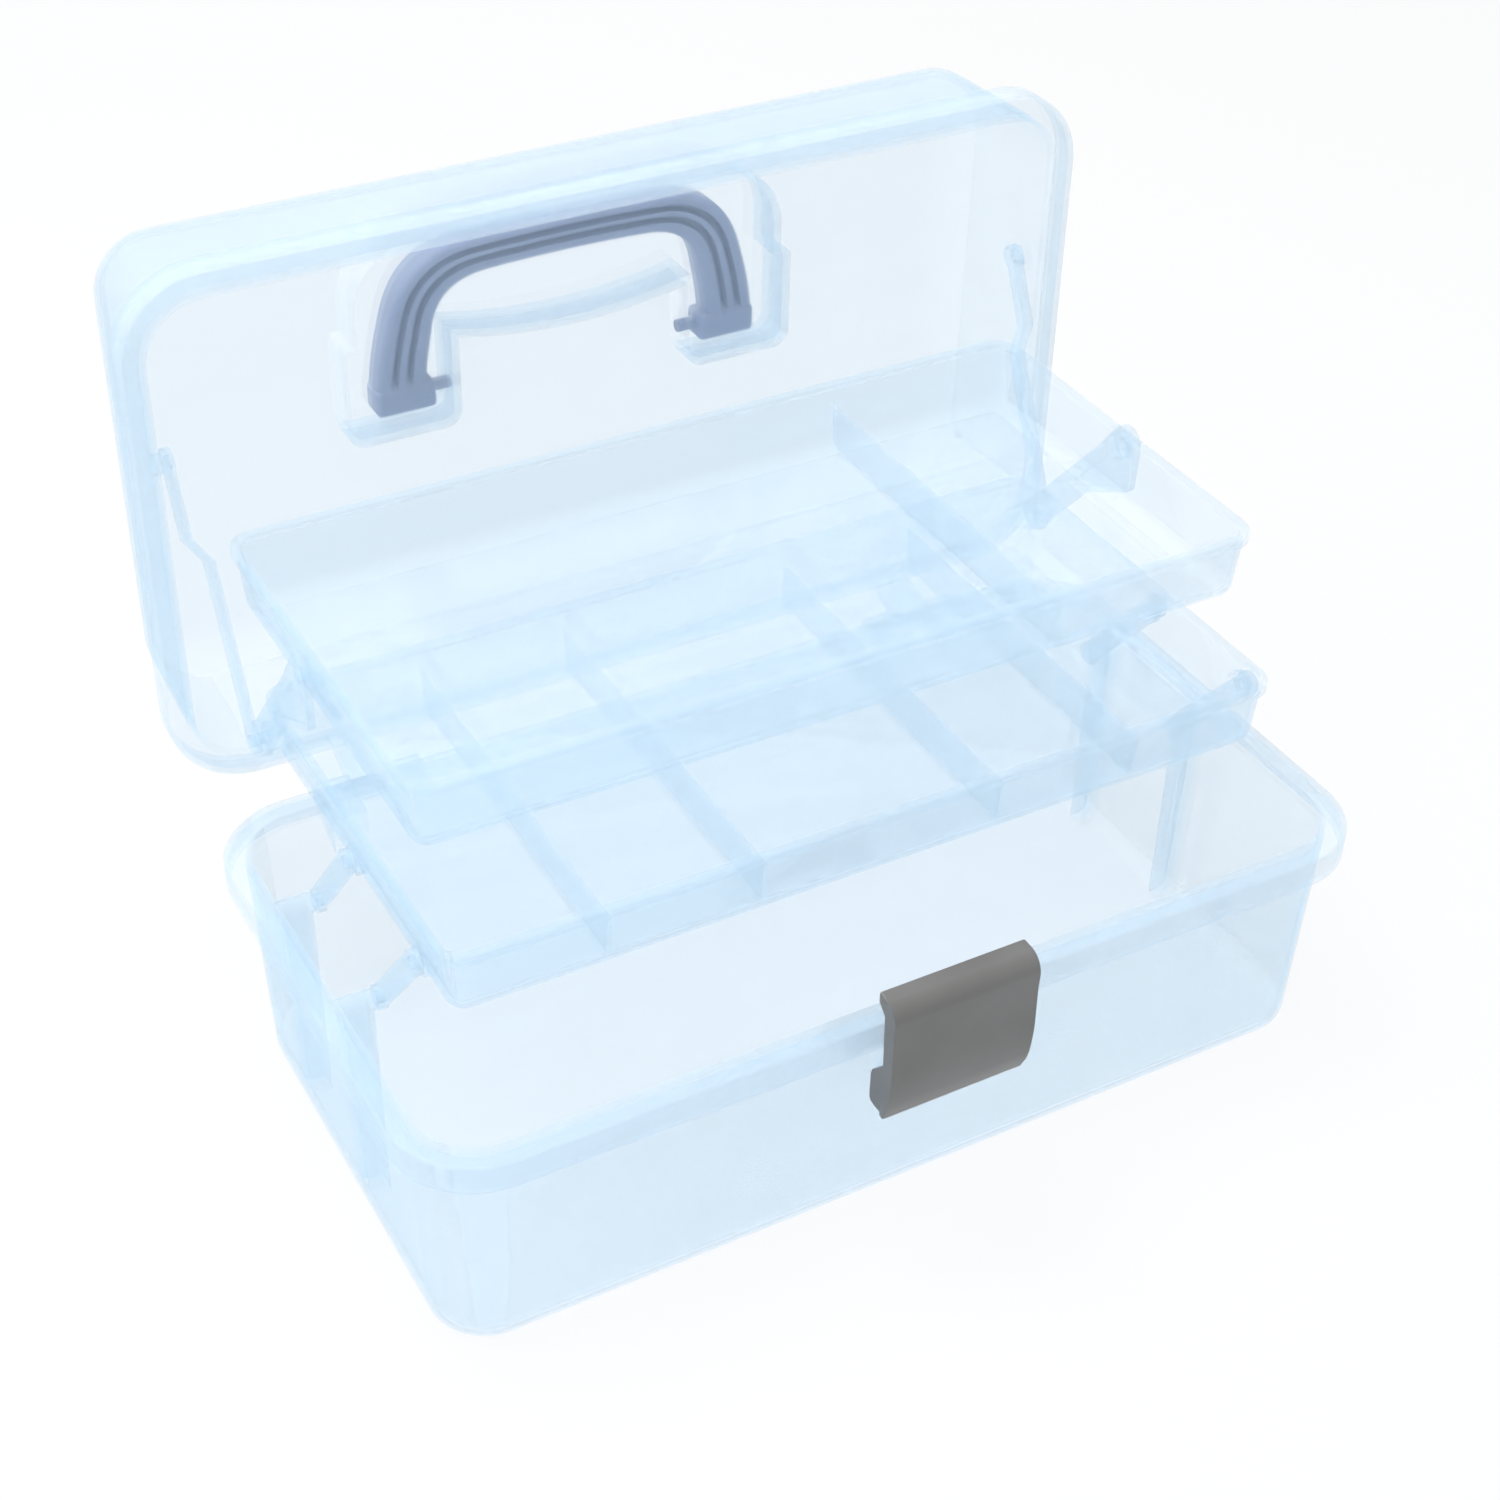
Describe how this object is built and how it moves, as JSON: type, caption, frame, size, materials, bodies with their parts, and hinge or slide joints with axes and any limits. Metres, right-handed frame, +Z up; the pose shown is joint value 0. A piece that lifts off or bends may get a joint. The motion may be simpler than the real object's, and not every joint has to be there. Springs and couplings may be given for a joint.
{
  "type": "tool organizer box",
  "caption": "Portable organizer box whose divided trays rise on side arms as the hinged lid opens, with a front latch and a carrying handle folded into the lid.",
  "frame": {"origin": "middle of the base's flat underside, which lies in the XY plane", "axes": "+X along the box's length, +Y from the latch towards the lid hinge, +Z up; stored with the lid open at a right angle and the trays raised"},
  "size_m": [0.33, 0.27, 0.26],
  "materials": {
    "shell_plastic": "smooth translucent pale blue moulding",
    "tray_plastic": "smooth translucent pale blue moulding",
    "arm_plastic": "smooth translucent pale blue moulding",
    "handle_plastic": "satin blue-grey",
    "latch_plastic": "satin grey",
    "pin_steel": "drawn rod"
  },
  "bodies": {
    "base": {"base": "shell_plastic", "hinge_pin_left": "pin_steel", "hinge_pin_right": "pin_steel"},
    "lid": {"lid": "shell_plastic"},
    "handle": {"handle": "handle_plastic"},
    "latch": {"latch": "latch_plastic"},
    "middle_tray": {"middle_tray": "tray_plastic"},
    "top_tray": {"top_tray": "tray_plastic"},
    "lower_rear_arm_left": {"lower_rear_arm_left": "arm_plastic"},
    "lower_front_arm_left": {"lower_front_arm_left": "arm_plastic"},
    "upper_arm_left": {"upper_arm_left": "arm_plastic"},
    "lid_link_left": {"lid_link_left": "arm_plastic"},
    "lower_rear_arm_right": {"lower_rear_arm_right": "arm_plastic"},
    "lower_front_arm_right": {"lower_front_arm_right": "arm_plastic"},
    "upper_arm_right": {"upper_arm_right": "arm_plastic"},
    "lid_link_right": {"lid_link_right": "arm_plastic"}
  },
  "joints": [
    {"name": "lid_hinge", "type": "hinge", "parent": "base", "child": "lid", "pos_m": [0, 0.0975, 0.073], "axis": [1, 0, 0], "range_deg": [0, 90]},
    {"name": "latch_pivot", "type": "hinge", "parent": "base", "child": "latch", "pos_m": [0, -0.0935, 0.0605], "axis": [1, 0, 0], "range_deg": [-7, 75]},
    {"name": "handle_pivot", "type": "hinge", "parent": "lid", "child": "handle", "pos_m": [0, 0.1618, 0.1745], "axis": [-1, 0, 0], "range_deg": [0, 90]},
    {"name": "lower_rear_arm_left_pivot", "type": "hinge", "parent": "base", "child": "lower_rear_arm_left", "pos_m": [0, 0.042, 0.079], "axis": [1, 0, 0], "range_deg": [0, 41]},
    {"name": "lower_rear_arm_right_pivot", "type": "hinge", "parent": "base", "child": "lower_rear_arm_right", "pos_m": [0, 0.042, 0.079], "axis": [1, 0, 0], "range_deg": [0, 41]},
    {"name": "lower_front_arm_left_pivot", "type": "hinge", "parent": "base", "child": "lower_front_arm_left", "pos_m": [0, -0.007, 0.079], "axis": [1, 0, 0], "range_deg": [0, 41]},
    {"name": "lower_front_arm_right_pivot", "type": "hinge", "parent": "base", "child": "lower_front_arm_right", "pos_m": [0, -0.007, 0.079], "axis": [1, 0, 0], "range_deg": [0, 41]},
    {"name": "middle_tray_pivot", "type": "hinge", "parent": "lower_rear_arm_left", "child": "middle_tray", "pos_m": [0, 0.01, 0.118], "axis": [1, 0, 0], "range_deg": [-41, 0]},
    {"name": "upper_arm_left_pivot", "type": "hinge", "parent": "middle_tray", "child": "upper_arm_left", "pos_m": [0, 0.081, 0.115], "axis": [1, 0, 0], "range_deg": [0, 21.2]},
    {"name": "upper_arm_right_pivot", "type": "hinge", "parent": "middle_tray", "child": "upper_arm_right", "pos_m": [0, 0.081, 0.115], "axis": [1, 0, 0], "range_deg": [0, 21.2]},
    {"name": "top_tray_pivot", "type": "hinge", "parent": "upper_arm_left", "child": "top_tray", "pos_m": [0, 0.036, 0.167], "axis": [1, 0, 0], "range_deg": [-21.2, 0]},
    {"name": "lid_link_left_pivot", "type": "hinge", "parent": "middle_tray", "child": "lid_link_left", "pos_m": [0, 0.081, 0.115], "axis": [1, 0, 0], "range_deg": [0, 108.78]},
    {"name": "lid_link_right_pivot", "type": "hinge", "parent": "middle_tray", "child": "lid_link_right", "pos_m": [0, 0.081, 0.115], "axis": [1, 0, 0], "range_deg": [0, 108.78]}
  ],
  "couplings": [
    {"joint": "lower_rear_arm_left_pivot", "follows": "lid_hinge", "ratio": 0.45555},
    {"joint": "lower_rear_arm_right_pivot", "follows": "lid_hinge", "ratio": 0.45555},
    {"joint": "lower_front_arm_left_pivot", "follows": "lid_hinge", "ratio": 0.45555},
    {"joint": "lower_front_arm_right_pivot", "follows": "lid_hinge", "ratio": 0.45555},
    {"joint": "middle_tray_pivot", "follows": "lid_hinge", "ratio": -0.45555},
    {"joint": "upper_arm_left_pivot", "follows": "lid_hinge", "ratio": 0.23555},
    {"joint": "upper_arm_right_pivot", "follows": "lid_hinge", "ratio": 0.23555},
    {"joint": "top_tray_pivot", "follows": "lid_hinge", "ratio": -0.23555},
    {"joint": "lid_link_left_pivot", "follows": "lid_hinge", "ratio": 1.2087},
    {"joint": "lid_link_right_pivot", "follows": "lid_hinge", "ratio": 1.2087}
  ]
}
